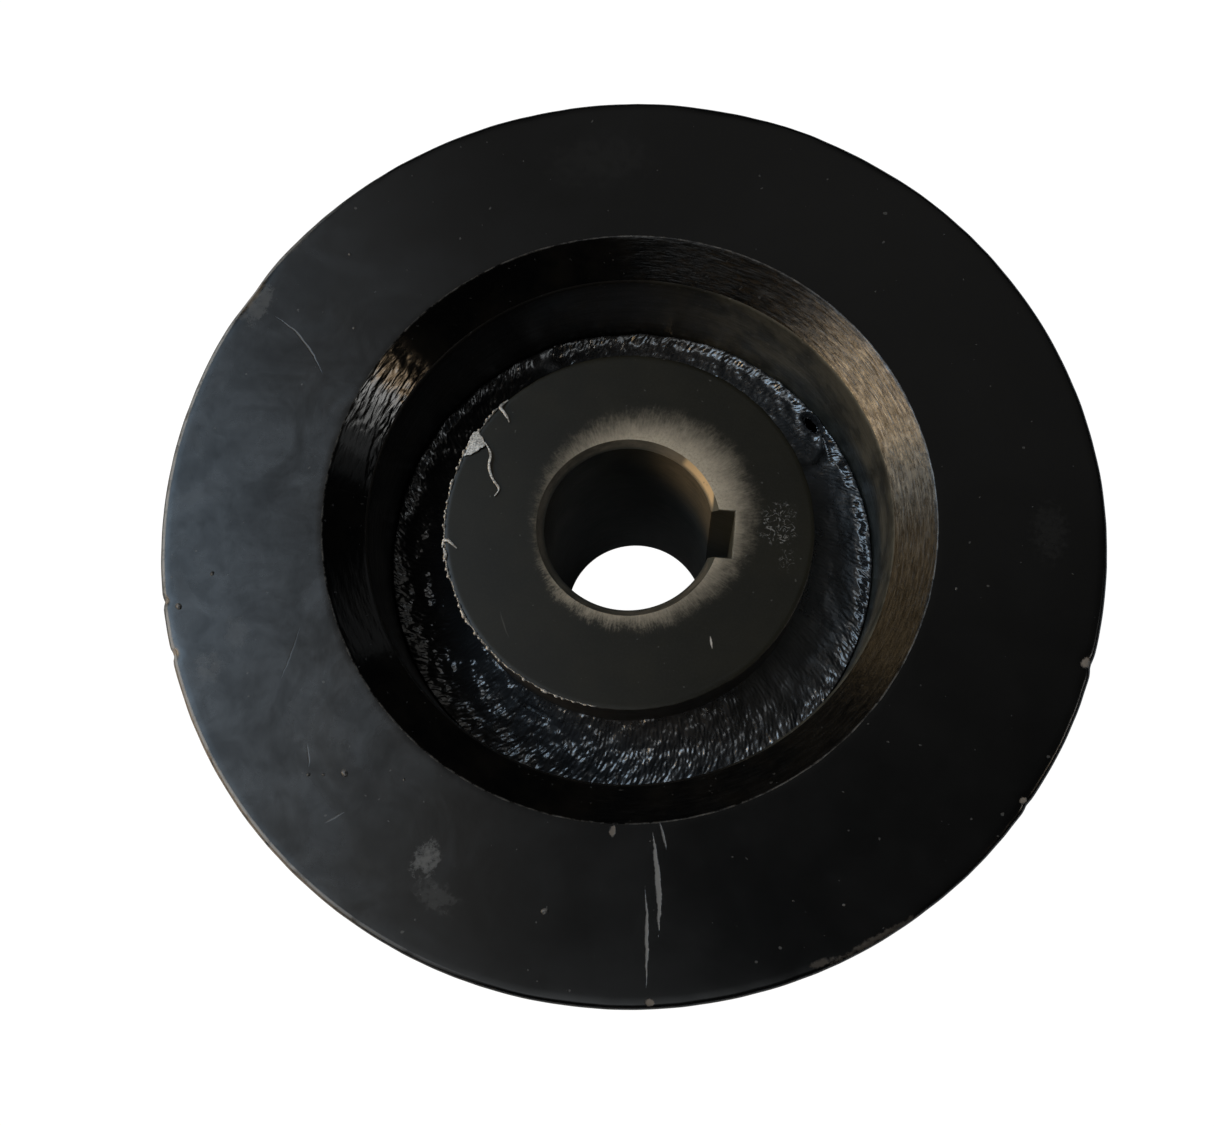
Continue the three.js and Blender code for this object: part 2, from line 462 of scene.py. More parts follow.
class Paint(Nodes):
    """A material under construction, measured in millimetres in the part's own frame."""

    def __init__(self, name):
        self.material = bpy.data.materials.new(name)
        self.material.use_nodes = True
        super().__init__(self.material.node_tree)
        self.shader = self.tree.nodes["Principled BSDF"]
        coordinates = self.node("ShaderNodeTexCoord")
        self.place = self.vector("SCALE", coordinates.outputs["Object"], scale=1 / MM)
        self.x, self.y, self.z = self.split(self.place)
        self.radius = self.math("SQRT", self.x * self.x + self.y * self.y)
        self.angle = self.math("ARCTAN2", self.y, self.x)

    def noise(self, scale, detail=3.0, roughness=0.55, place=None, distortion=0.0):
        """Cloudy noise from 0 to 1. Scale is in lumps per millimetre."""
        node = self.node("ShaderNodeTexNoise")
        self.feed(node.inputs["Vector"], self.place if place is None else place)
        settings = {"Scale": scale, "Detail": detail, "Roughness": roughness, "Distortion": distortion}
        for name, value in settings.items():
            node.inputs[name].default_value = value
        return Value(self, node.outputs[0])

    def specks(self, scale, low, high):
        """Small dots: 1 where a soft noise is over high and 0 where it is under low."""
        return self.step(self.noise(scale, 1.0, 0.4), low, high)

    def facing(self, side):
        """1 on the side at that angle in degrees, -1 on the opposite side and 0 between them."""
        return self.math("COSINE", self.angle - math.radians(side))

    def around(self, along, across, offset=0.0):
        """Coordinates that run round the axis and out from it, stretched so streaks follow the turning."""
        ring = self.angle * (60.0 / along)
        level = (self.radius + self.z) * (1.0 / across)
        return self.join(ring, level, offset)

    def between(self, stretch):
        """1 over the middle of a (start, full, fading, end) stretch of angles, and 0 beyond it."""
        start, full, fading, end = (math.radians(angle) for angle in stretch)
        return self.step(self.angle, start, full) * self.step(self.angle, end, fading)

    def mix(self, share, first, second, kind="RGBA"):
        """A mix of two colours."""
        node = self.node("ShaderNodeMix")
        node.data_type = kind
        self.feed(node.inputs["Factor"], share)
        self.feed(node.inputs["A"], first)
        self.feed(node.inputs["B"], second)
        return node.outputs["Result"]

    def blend(self, share, first, second):
        """A mix of two numbers."""
        return Value(self, self.mix(share, first, second, "FLOAT"))

    def most(self, *shares):
        """The largest of some 0 to 1 shares."""
        total = shares[0]
        for share in shares[1:]:
            total = self.math("MAXIMUM", total, share)
        return total

    def bump(self, height, depth, under=None):
        """A bump of that depth in millimetres where height goes from 0 to 1."""
        node = self.node("ShaderNodeBump")
        node.inputs["Strength"].default_value = 1.0
        node.inputs["Distance"].default_value = depth * MM
        self.feed(node.inputs["Height"], height)
        self.feed(node.inputs["Normal"], under)
        return node.outputs[0]

    def local(self, mark):
        """(along, across) of a mark's own axes: it sits at a radius and angle and is turned by its tilt."""
        centre = polar(mark["radius"], mark["angle"])
        moved = self.vector("SUBTRACT", self.place, (centre[0], centre[1], 0.0))
        node = self.node("ShaderNodeVectorRotate")
        node.rotation_type = "Z_AXIS"
        self.feed(node.inputs["Vector"], moved)
        node.inputs["Angle"].default_value = -math.radians(mark["angle"] + mark.get("tilt", 0.0))
        return self.split(node.outputs[0])[:2]

    def stroke(self, mark):
        """A scratch: long, thin, bowed and ragged, fading out at both ends. Tilt 0 runs outwards."""
        along, across = self.local(mark)
        share = along / (mark["length"] / 2)
        square = share * share
        bow = (1.0 - square) * mark.get("bow", 0.0)
        wander = (self.noise(0.35, 2.0) - 0.5) * mark.get("wander", 0.6)
        off = self.math("ABSOLUTE", across - bow + wander)
        taper = self.math("SUBTRACT", 1.0, square, clamp=True) * (mark["width"] / 2)
        ragged = self.noise(1.6, 3.0, 0.7) * (mark["width"] * 0.4)
        reach = taper + 0.02 - ragged
        inside = self.step(reach - off, -0.1, 0.1) * self.step(square, 1.0, 0.7)
        return inside * mark["strength"]

    def blotch(self, mark):
        """A patch with a broken edge. Length runs outwards before the tilt, width across."""
        along, across = self.local(mark)
        u = along / (mark["length"] / 2)
        v = across / (mark["width"] / 2)
        far = u * u + v * v
        cloud = self.noise(mark.get("grain", 0.5), 5.0, 0.68)
        value = cloud * mark.get("broken", 2.4) - far
        soft = self.step(value, mark.get("low", 0.55), mark.get("high", 1.25))
        return soft * mark["strength"]

    def finish(self, colour, roughness, metallic=0.0, normal=None, specular=0.5):
        """Feeds the shader. Specular is how strongly the surface reflects."""
        values = {"Base Color": colour, "Roughness": roughness, "Metallic": metallic,
                  "Specular IOR Level": specular, "Normal": normal}
        for name, value in values.items():
            self.feed(self.shader.inputs[name], value)
        return self.material


def polar(radius, angle):
    """X and Y of a point at a radius and an angle in degrees."""
    a = math.radians(angle)
    return radius * math.cos(a), radius * math.sin(a)


def mark(radius, angle, length, width, strength, **more):
    """One scratch or patch on a flat face: where its middle is, its size in millimetres and how plain."""
    return dict(radius=radius, angle=angle, length=length, width=width, strength=strength, **more)


def chip(radius, angle, length, width, strength, grain=1.0):
    """A small mark with a hard edge, where the paint has come off."""
    return mark(radius, angle, length, width, strength, grain=grain, broken=2.0, low=0.3, high=0.8)


BLACK = (0.0013, 0.0014, 0.0015, 1)
DUST = (0.17, 0.17, 0.165, 1)
BARE = (0.25, 0.215, 0.18, 1)
WORN_PAINT = (0.20, 0.195, 0.185, 1)

# A side is the angle at its middle, and a stretch is the angles where it starts, is full, fades and ends.
# This side faces the window. The rim's smears are painted paler there as a painted sheen, and its rubbed
# outer edge carries a painted highlight.
GRIME_AND_SHEEN_SIDE = 195.0
BARE_STRETCH = (-162, -152, -130, -112)

RIM_SCRATCHES = (
    mark(57.5, 279.5, 17.0, 1.1, 0.75, tilt=-1.0, bow=0.5),
    mark(65.0, 277.8, 15.5, 0.6, 0.75, tilt=-2.0, bow=0.2),
    mark(50.8, 281.5, 4.5, 0.5, 0.6, tilt=8.0),
    mark(62.3, 157.2, 14.5, 0.34, 0.55, tilt=-22.0, bow=-1.2, wander=0.5),
    mark(62.0, 224.0, 4.0, 0.3, 0.3, tilt=60.0),
    mark(65.0, 233.0, 3.6, 0.3, 0.35, tilt=-20.0),
    mark(57.0, 209.0, 9.0, 0.25, 0.16, tilt=50.0),
)
RIM_PATCHES = (
    mark(61.6, 246.6, 8.0, 6.0, 0.50, grain=1.1, broken=2.3),
    mark(72.4, 154.8, 6.0, 10.0, 0.27, grain=0.8, broken=2.5),
    mark(65.5, 250.0, 6.0, 10.0, 0.12, grain=0.8),
    mark(69.5, 206.5, 6.0, 7.0, 0.16, grain=0.8),
    mark(64.0, 203.0, 5.0, 8.0, 0.09, grain=0.8),
    mark(66.0, 2.0, 8.0, 14.0, 0.035, grain=1.0),
    mark(64.0, 100.0, 14.0, 26.0, 0.02, grain=0.6),
    mark(59.0, 222.0, 12.0, 20.0, 0.05, grain=0.6),
)
RIM_CHIPS = (
    mark(49.9, 273.0, 2.2, 1.2, 0.5, grain=1.6, broken=2.0, low=0.3, high=0.7),
    mark(73.9, 153.8, 2.4, 9.0, 0.20, grain=0.9, broken=2.4),
    mark(74.2, 145.0, 1.6, 16.0, 0.10, grain=0.9, broken=2.6),
    chip(73.8, 345.8, 2.0, 2.2, 0.9, 0.9),
    chip(74.0, 327.6, 1.4, 1.6, 0.8),
    mark(74.2, 304.0, 1.4, 20.0, 0.20, grain=1.0, broken=2.4),
    mark(73.8, 297.5, 1.6, 6.0, 0.18, grain=1.0, broken=2.4),
    chip(73.9, 278.0, 1.3, 1.8, 0.6),
    chip(74.1, 196.6, 1.0, 1.3, 0.8, 1.2),
    chip(74.3, 203.2, 1.0, 1.6, 0.9, 1.2),
)


def rim_paint():
    """Semi-gloss black paint on the rim's faces: fine grain, smears, dust, scratches and worn edges. On the
    side that faces the window the smears carry a painted sheen and the outer edge a painted highlight.
    """
    p = Paint("rim_black_paint")
    cloud = p.noise(0.045, 4.0, 0.6)
    grain = p.noise(2.2, 3.0, 0.7)
    smears = p.noise(0.065, 5.0, 0.62, distortion=1.3)
    stains = p.noise(0.23, 5.0, 0.62, place=p.vector("ADD", p.place, (40.0, 7.0, 0.0)), distortion=0.6)
    specks = p.specks(0.9, 0.765, 0.80)
    grime_and_sheen = p.step(p.facing(GRIME_AND_SHEEN_SIDE), 0.38, 0.97)
    # Smears painted bluish grey, almost only on the window side: dirt with a painted sheen of the window's
    # reflection.
    veil = p.step(smears, 0.38, 0.74) * p.step(stains, 0.25, 0.75, 0.2, 1.0)
    veil = veil * (grime_and_sheen * 0.09 + 0.003)
    front = p.step(p.z, RIM_FACE - 2.4, RIM_FACE - 1.2)
    patches = p.most(*[p.blotch(m) for m in RIM_PATCHES]) * front
    dusty = p.most(patches, specks * 0.3)
    scratched = p.most(*[p.stroke(m) for m in RIM_SCRATCHES]) * front
    rear_edge = p.step(p.radius, RIM_RADIUS - 1.4, RIM_RADIUS - 0.5)
    rear_edge = rear_edge * p.step(p.z, RIM_REAR + 1.3, RIM_REAR + 0.4)
    chipped = rear_edge * p.step(p.noise(0.3, 5.0, 0.7), 0.55, 0.62, 0.0, 0.5)
    worn = p.most(p.most(*[p.blotch(m) for m in RIM_CHIPS]) * front, chipped)
    # A pale silvery line on the outer edge, only on the window side: rubbed paint and a painted highlight
    # of the window.
    highlight_line_gap = p.math("ABSOLUTE", p.radius - (RIM_RADIUS - 0.7))
    broken = p.step(p.noise(0.35, 4.0, 0.6), 0.34, 0.52, 0.35, 1.0)
    rubbed_and_highlight = p.step(highlight_line_gap, 0.34, 0.12) * (grime_and_sheen * broken)
    edge = p.step(p.radius, RIM_RADIUS - 0.75, RIM_RADIUS - 0.2)
    edge = edge * p.step(p.z, RIM_FACE - 1.6, RIM_FACE - 0.9)
    bare_edge = edge * p.between(BARE_STRETCH) * p.step(p.noise(0.4, 4.0), 0.3, 0.5)

    tone = p.mix(p.step(cloud, 0.35, 0.7), BLACK, (0.0026, 0.0026, 0.0026, 1))
    tone = p.mix(veil, tone, (0.14, 0.15, 0.165, 1))
    tone = p.mix(dusty, tone, DUST)
    tone = p.mix(rubbed_and_highlight * 0.85, tone, (0.35, 0.37, 0.39, 1))
    tone = p.mix(scratched, tone, (0.22, 0.22, 0.22, 1))
    tone = p.mix(p.most(worn, bare_edge), tone, BARE)
    gloss = p.step(cloud, 0.3, 0.75, 0.18, 0.24) + grain * 0.04
    gloss = gloss + p.step(smears, 0.4, 0.75) * (grime_and_sheen * 0.08 + 0.02)
    gloss = p.blend(p.most(dusty, scratched, worn, rubbed_and_highlight), gloss, 0.60)
    sheen = p.step(smears, 0.3, 0.65, 0.4, 0.56) * p.step(stains, 0.3, 0.7, 0.8, 1.08)
    sheen = p.blend(grime_and_sheen, 0.46, sheen)
    orange_peel = p.bump(p.noise(0.75, 2.0, 0.5), 0.004)
    fine = p.bump(grain, 0.0022, orange_peel)
    side = p.step(p.radius, RIM_RADIUS - 0.12, RIM_RADIUS - 0.03)
    turning = p.noise(1.0, 4.0, 0.7, place=p.around(50.0, 0.7)) * side
    fine = p.bump(turning, 0.012, fine)
    normal = p.bump(1.0 - p.most(scratched, worn), 0.05, fine)
    return p.finish(tone, gloss, bare_edge * 0.5, normal, sheen)


PEBBLED = (145, 149, 163, 171)
STAINED_SIDE = 38.0


def chamfer_paint():
    """Gloss black paint over turning marks on the recess chamfers, with runny pebbles on one side."""
    p = Paint("chamfer_black_paint")
    lines = p.noise(1.0, 4.0, 0.7, place=p.around(5.0, 0.45))
    waves = p.noise(1.0, 2.0, 0.5, place=p.around(2.4, 1.0, 3.0), distortion=0.4)
    pebbles = p.noise(1.0, 1.0, 0.4, place=p.around(4.4, 1.15, 7.0), distortion=0.5)
    cloud = p.noise(0.14, 4.0, 0.6)
    start, full, fading, end = (math.radians(angle) for angle in PEBBLED)
    run_on = p.step(p.radius, WALL_RADIUS + 2.0, WALL_RADIUS + 0.7, 0.0, math.radians(10))
    pebbled = p.step(p.angle, start, full) * p.step(p.angle - run_on, end, fading)
    pebbled = (pebbled * 0.88 + 0.12) * (run_on * 3.0 + 1.0)
    outer = p.step(p.radius, RECESS_EDGE - 0.22, RECESS_EDGE - 0.02)
    inner = p.step(p.radius, WALL_RADIUS + 0.2, WALL_RADIUS + 0.06) * 0.35
    worn = p.most(outer, inner) * p.step(p.noise(0.6, 4.0, 0.7), 0.38, 0.66)
    specks = p.specks(1.3, 0.74, 0.79)
    far_side = p.step(p.x, 6.0, -10.0)
    near_side = 1.0 - far_side
    stains = p.noise(1.0, 5.0, 0.75, place=p.around(2.6, 0.9, 11.0), distortion=0.4)
    stained_side = p.step(p.facing(STAINED_SIDE), 0.45, 0.95)
    stained = p.step(stains, 0.46, 0.64) * stained_side
    tone = p.mix(p.step(cloud, 0.35, 0.7), BLACK, (0.0050, 0.0044, 0.0036, 1))
    tone = p.mix(stained * 0.6, tone, (0.026, 0.018, 0.01, 1))
    tone = p.mix(specks * 0.16, tone, DUST)
    tone = p.mix(worn * 0.4, tone, WORN_PAINT)
    gloss = p.blend(far_side, p.step(lines, 0.25, 0.75, 0.16, 0.27), 0.10)
    sheen = p.blend(stained_side, 0.5, p.step(stains, 0.36, 0.62, 0.66, 0.30))
    glints = p.step(lines, 0.38, 0.66, 0.62, 1.65)
    sheen = sheen * p.blend(near_side, 1.0, glints)
    normal = p.bump(lines * (near_side * 0.8 + 0.2), 0.03)
    normal = p.bump(waves * (far_side * -0.75 + 1.0), 0.03, normal)
    normal = p.bump(pebbles * pebbled, 0.085, normal)
    return p.finish(tone, gloss, 0.0, normal, sheen)


WALL_DUST_AND_LIGHT_SIDE = 14.0
WELD_DUST_AND_LIGHT_SIDE = 34.0
LOWER_WELD_SHEEN_SIDE = 276.0


def wall_paint():
    """Black paint on the recess wall, brown with dust and painted light on the side that faces the window.
    """
    p = Paint("recess_wall_paint")
    streaks = p.noise(1.0, 3.0, 0.6, place=p.around(14.0, 0.9))
    cloud = p.noise(0.13, 5.0, 0.65)
    specks = p.specks(1.5, 0.70, 0.76)
    # Painted light: the wall that faces the window is painted pale brown, part dust and part its light. The
    # side in shade stays black.
    dusty = p.step(p.facing(WALL_DUST_AND_LIGHT_SIDE), 0.1, 0.7)
    dark = p.mix(p.step(cloud, 0.35, 0.70), (0.0030, 0.0028, 0.0026, 1), (0.0075, 0.0065, 0.0055, 1))
    pale = p.mix(p.step(cloud, 0.35, 0.65), (0.020, 0.021, 0.018, 1), (0.074, 0.073, 0.060, 1))
    tone = p.mix(dusty, dark, pale)
    tone = p.mix(specks * 0.25, tone, DUST)
    gloss = p.step(streaks, 0.3, 0.7, 0.36, 0.50)
    normal = p.bump(streaks, 0.012)
    normal = p.bump(p.noise(0.8, 4.0, 0.65), 0.05, normal)
    return p.finish(tone, gloss, 0.0, normal)


def weld_paint():
    """Gloss black paint that has flowed over the weld's ripples, dusty by the hub on one side. The pale
    grey is part dust and part painted light, and on the lower side it is a painted sheen in place of
    glints.
    """
    p = Paint("weld_gloss_paint")
    cloud = p.noise(0.25, 4.0, 0.6)
    fine = p.noise(3.2, 3.0, 0.65)
    by_hub = p.step(p.radius, HUB_RADIUS + 9.0, HUB_RADIUS + 5.0)
    # The grey below is dust by the hub, widened round the top as painted light where the bead lies in
    # shade. On the lower side it is a painted sheen standing in for glints.
    toward = p.step(p.facing(WELD_DUST_AND_LIGHT_SIDE), -0.2, 0.6)
    below = p.step(p.facing(LOWER_WELD_SHEEN_SIDE), 0.35, 0.85)
    dusty = p.most((by_hub * 0.36 + 0.2) * toward, below * 0.2)
    dusty = p.math("MULTIPLY", dusty + 0.1, p.step(cloud, 0.25, 0.75, 0.6, 1.0), clamp=True)
    tone = p.mix(dusty, (0.0045, 0.0047, 0.0050, 1), (0.100, 0.100, 0.103, 1))
    specks = p.specks(1.6, 0.75, 0.79)
    tone = p.mix(specks * 0.25, tone, DUST)
    gloss = below * 0.06 + p.blend(dusty, 0.16, 0.4)
    p.shader.inputs["Coat Weight"].default_value = 0.6
    p.shader.inputs["Coat Roughness"].default_value = 0.14
    return p.finish(tone, gloss, 0.0, p.bump(fine, 0.02), 1.0)


HUB_SCUFFS = (
    mark(24.6, 6.0, 7.0, 9.5, 0.95, grain=0.8, broken=2.6, low=0.5, high=1.0),
    mark(26.6, -8.0, 3.5, 5.0, 0.60, grain=0.9, broken=2.5, low=0.5, high=1.0),
)
HUB_SCRATCHES = (
    mark(23.7, 309.5, 2.3, 0.36, 0.95, tilt=-26.0, wander=0.2),
    mark(26.0, 225.0, 5.0, 0.2, 0.08, tilt=70.0),
)
HAZE_SIDE = 43.0
HAZE_FOOT = 258.0


def hub_face_steel():
    """Satin turned face under a thin dark coat, with a pale powdery haze round the bore."""
    p = Paint("hub_face_satin")
    lines = p.noise(1.0, 3.0, 0.65, place=p.around(40.0, 0.16))
    cloud = p.noise(0.12, 4.0, 0.6)
    grain = p.noise(2.6, 3.0, 0.7)
    turn = p.angle - math.radians(HAZE_SIDE)
    lean = p.math("COSINE", turn)
    twice = p.math("COSINE", turn * 2.0) * 0.5
    below = p.step(p.facing(HAZE_FOOT), 0.45, 1.0)
    reach = lean * 2.2 + 16.7 + twice + below * 1.2
    fur = p.noise(1.0, 4.0, 0.75, place=p.around(1.1, 1.7)) - 0.5
    powder = p.noise(2.4, 4.0, 0.8)
    fur = fur * 3.8 + (powder - 0.5) * 4.2
    patchy = (p.noise(0.35, 3.0, 0.6) - 0.5) * 3.0
    beyond = p.radius + fur + patchy - reach
    softness = lean * 1.2 + 2.5
    haze = p.step(beyond / softness, 1.0, -1.2)
    strong = below * 0.45 + p.step(lean, -1.1, 0.95, 0.28, 1.0)
    haze = p.math("MULTIPLY", haze, strong, clamp=True)
    haze = haze * p.step(powder, 0.25, 0.6, 0.5, 1.0)
    curls = p.math("ABSOLUTE", p.noise(0.75, 1.0, 0.5, distortion=1.5) - 0.5)
    scuffed = p.most(*[p.blotch(m) for m in HUB_SCUFFS]) * p.step(curls, 0.045, 0.015)
    scuffed = scuffed * p.step(p.noise(1.3, 3.0, 0.7), 0.42, 0.54)
    scratched = p.most(*[p.stroke(m) for m in HUB_SCRATCHES])
    specks = p.specks(1.1, 0.755, 0.79)

    tone = p.mix(p.step(cloud, 0.35, 0.7), (0.0066, 0.0060, 0.0026, 1), (0.0100, 0.0090, 0.0042, 1))
    tone = p.mix(p.step(powder, 0.45, 0.75, 0.0, 0.035), tone, DUST)
    tone = p.mix(haze, tone, (0.44, 0.390, 0.305, 1))
    tone = p.mix(p.most(scuffed, specks * 0.3), tone, DUST)
    tone = p.mix(scratched, tone, (0.55, 0.53, 0.50, 1))
    gloss = p.blend(haze, p.step(lines, 0.3, 0.7, 0.33, 0.41), 0.66)
    normal = p.bump(lines, 0.004)
    normal = p.bump(grain, 0.008, normal)
    return p.finish(tone, gloss, 0.0, normal, 0.35)


GLINT_STRETCH = (16, 24, 53, 58)
BORE_LIT_SIDE = 34.0


def bore_steel():
    """Bored steel: brown-black, oily, with fine turning marks; barer by its mouth. A painted golden glint
    sits on one side of the mouth, and a painted pool of warm light lies down the wall that faces the
    window.
    """
    p = Paint("bore_dark_steel")
    lines = p.noise(1.0, 3.0, 0.65, place=p.around(30.0, 0.22))
    cloud = p.noise(0.16, 4.0, 0.6)
    streaks = p.noise(1.0, 4.0, 0.65, place=p.around(12.0, 1.6, 5.0))
    mouth = p.step(p.radius, BORE_RADIUS + 0.05, BORE_RADIUS + 0.5)
    keyed = p.step(p.x, BORE_RADIUS - 0.6, BORE_RADIUS - 0.2)
    chamfered = mouth * (1.0 - keyed)
    # Painted light: a warm brown patch down the bore wall that faces the window, reaching as deep as the
    # window's light.
    high = p.step(p.z, HUB_FRONT - 26.0, HUB_FRONT - 2.0) * p.step(p.facing(BORE_LIT_SIDE), 0.6, 0.97)
    high = high * p.step(streaks, 0.25, 0.7, 0.4, 1.0)
    # A painted golden glint on the mouth's chamfer, over one stretch of angles.
    painted_glint = p.between(GLINT_STRETCH) * chamfered * p.step(p.noise(0.9, 4.0, 0.7), 0.25, 0.42)

    tone = p.mix(p.step(cloud, 0.3, 0.7), (0.028, 0.029, 0.025, 1), (0.054, 0.055, 0.047, 1))
    tone = p.mix(high * 0.85, tone, (0.25, 0.2, 0.13, 1))
    tone = p.mix(keyed * 0.9, tone, (0.068, 0.068, 0.054, 1))
    tone = p.mix(chamfered * p.step(streaks, 0.3, 0.7, 0.25, 0.75), tone, (0.19, 0.165, 0.13, 1))
    tone = p.mix(painted_glint, tone, (0.62, 0.46, 0.27, 1))
    gloss = p.step(lines, 0.3, 0.7, 0.30, 0.44)
    metal = p.blend(chamfered, 0.15, 0.40)
    return p.finish(tone, gloss, metal, p.bump(lines, 0.008))


def hub_side_paint():
    """Dull dusty paint on the hub's outer wall and rear end."""
    p = Paint("hub_side_paint")
    streaks = p.noise(1.0, 3.0, 0.6, place=p.around(16.0, 0.5))
    cloud = p.noise(0.2, 4.0, 0.6)
    tone = p.mix(p.step(cloud, 0.35, 0.72), (0.022, 0.021, 0.021, 1), (0.050, 0.047, 0.043, 1))
    gloss = p.step(streaks, 0.3, 0.7, 0.36, 0.50)
    return p.finish(tone, gloss, 0.0, p.bump(streaks, 0.010))


def burr_steel():
    """Bright torn steel left by the facing tool."""
    p = Paint("burr_bright_steel")
    grain = p.noise(3.0, 4.0, 0.7)
    tone = p.mix(p.step(grain, 0.35, 0.65), (0.20, 0.19, 0.175, 1), (0.74, 0.72, 0.68, 1))
    return p.finish(tone, p.step(grain, 0.3, 0.7, 0.35, 0.55), 0.35, p.bump(grain, 0.04))


def web_steel():
    """Dull dark mill plate, all but hidden under the beads."""
    p = Paint("web_mill_plate")
    scale = p.noise(0.3, 5.0, 0.65)
    tone = p.mix(p.step(scale, 0.35, 0.7), (0.012, 0.012, 0.012, 1), (0.040, 0.034, 0.028, 1))
    return p.finish(tone, p.step(scale, 0.3, 0.7, 0.5, 0.7), 0.2, p.bump(scale, 0.04))


# ---- rim ring

RIM_TURNS = 720

# Dents in the rim's outer edge: angle and half width in degrees, and depth.
EDGE_NICKS = ((345.8, 0.9, 0.35), (327.6, 0.6, 0.25), (196.5, 0.5, 0.35), (203.3, 0.6, 0.40),
              (154.0, 3.5, 0.30))


def make_rim():
    """The rim ring, with hand-dressed edges: the outer edge wanders a little and has a few nicks."""
    corners = (
        (WALL_RADIUS, RIM_REAR + CHAMFER_DEPTH, 0.3, 1.2, 1),
        (RECESS_EDGE, RIM_REAR, 0.3, 2.4, 0),
        (RIM_RADIUS, RIM_REAR, 0.9, 3.2, 0),
        (RIM_RADIUS, RIM_FACE, 0.9, 1.0, 0),
        (RECESS_EDGE, RIM_FACE, 0.30, 0.5, 1),
        (WALL_RADIUS, RIM_FRONT - CHAMFER_DEPTH, 0.8, 2.0, 2),
    )
    outline, slots = rounded_outline(corners)
    turns = np.arange(RIM_TURNS) * math.tau / RIM_TURNS
    radius = np.repeat(outline[None, :, 0], RIM_TURNS, axis=0)
    height = np.repeat(outline[None, :, 1], RIM_TURNS, axis=0)
    angle = np.repeat(turns[:, None], len(outline), axis=1)

    outer = smooth(RIM_RADIUS - 1.6, RIM_RADIUS - 0.3, radius)
    outer *= smooth(RIM_FACE - 2.2, RIM_FACE - 0.6, height)
    dressed = 0.06 + 0.06 * ring_noise(angle, 40, 11) + 0.05 * ring_noise(angle, 150, 12)
    for place, half_width, depth in EDGE_NICKS:
        dressed += depth * np.exp(-((np.degrees(away(angle, place)) / half_width) ** 2))
    cut = np.maximum(dressed, 0) * outer * 0.7
    radius = radius - cut
    height = height - cut

    recess = np.exp(-(((radius - RECESS_EDGE) / 0.5) ** 2))
    recess *= smooth(RIM_FACE - 0.5, RIM_FACE - 0.05, height)
    radius = radius + recess * 0.05 * ring_noise(angle, 120, 13)
    chamfer = smooth(WALL_RADIUS + 0.4, WALL_RADIUS + 1.2, radius)
    chamfer *= smooth(RECESS_EDGE - 0.2, RECESS_EDGE - 1.0, radius)
    height = height + chamfer * 0.02 * ring_noise(angle + radius / 8, 90, 14)

    vertices = np.stack([radius * np.cos(angle), radius * np.sin(angle), height], axis=-1).reshape(-1, 3)
    faces = grid_faces(RIM_TURNS, len(outline), True, True)
    paints = [rim_paint(), chamfer_paint(), wall_paint()]
    rim = link_mesh("rim", vertices, faces, paints, np.tile(slots, RIM_TURNS))
    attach(rim, "root")
    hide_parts("rim_ring")


# ---- hub sleeve


def keyway_point(share, mouth, ease):
    """A point on the keyway's outline, from one mouth at share -1 to the other at 1."""
    half = KEYWAY_HALF + ease
    floor = KEYWAY_FLOOR + ease
    lip = math.sqrt(mouth * mouth - half * half)
    side = math.copysign(1.0, share)
    if abs(share) > 0.5:
        return floor + (lip - floor) * (abs(share) - 0.5) * 2, side * half
    return floor, half * share * 2


def hub_ring(mouth, ease, outer_share, outer_radius):
    """One closed ring of points between the bore's outline and a circle on the hub's outside."""
    opening = math.degrees(math.asin(KEYWAY_HALF / BORE_RADIUS))
    radius = mouth + (outer_radius - mouth) * outer_share
    ring = [polar(radius, angle) for angle in np.linspace(opening, 360 - opening, 620)[1:-1]]
    for share in np.linspace(-1.0, 1.0, 41):
        x, y = keyway_point(share, mouth, ease)
        out_x, out_y = polar(outer_radius, math.degrees(math.atan2(y, x)))
        ring.append((x + (out_x - x) * outer_share, y + (out_y - y) * outer_share))
    return np.array(ring)


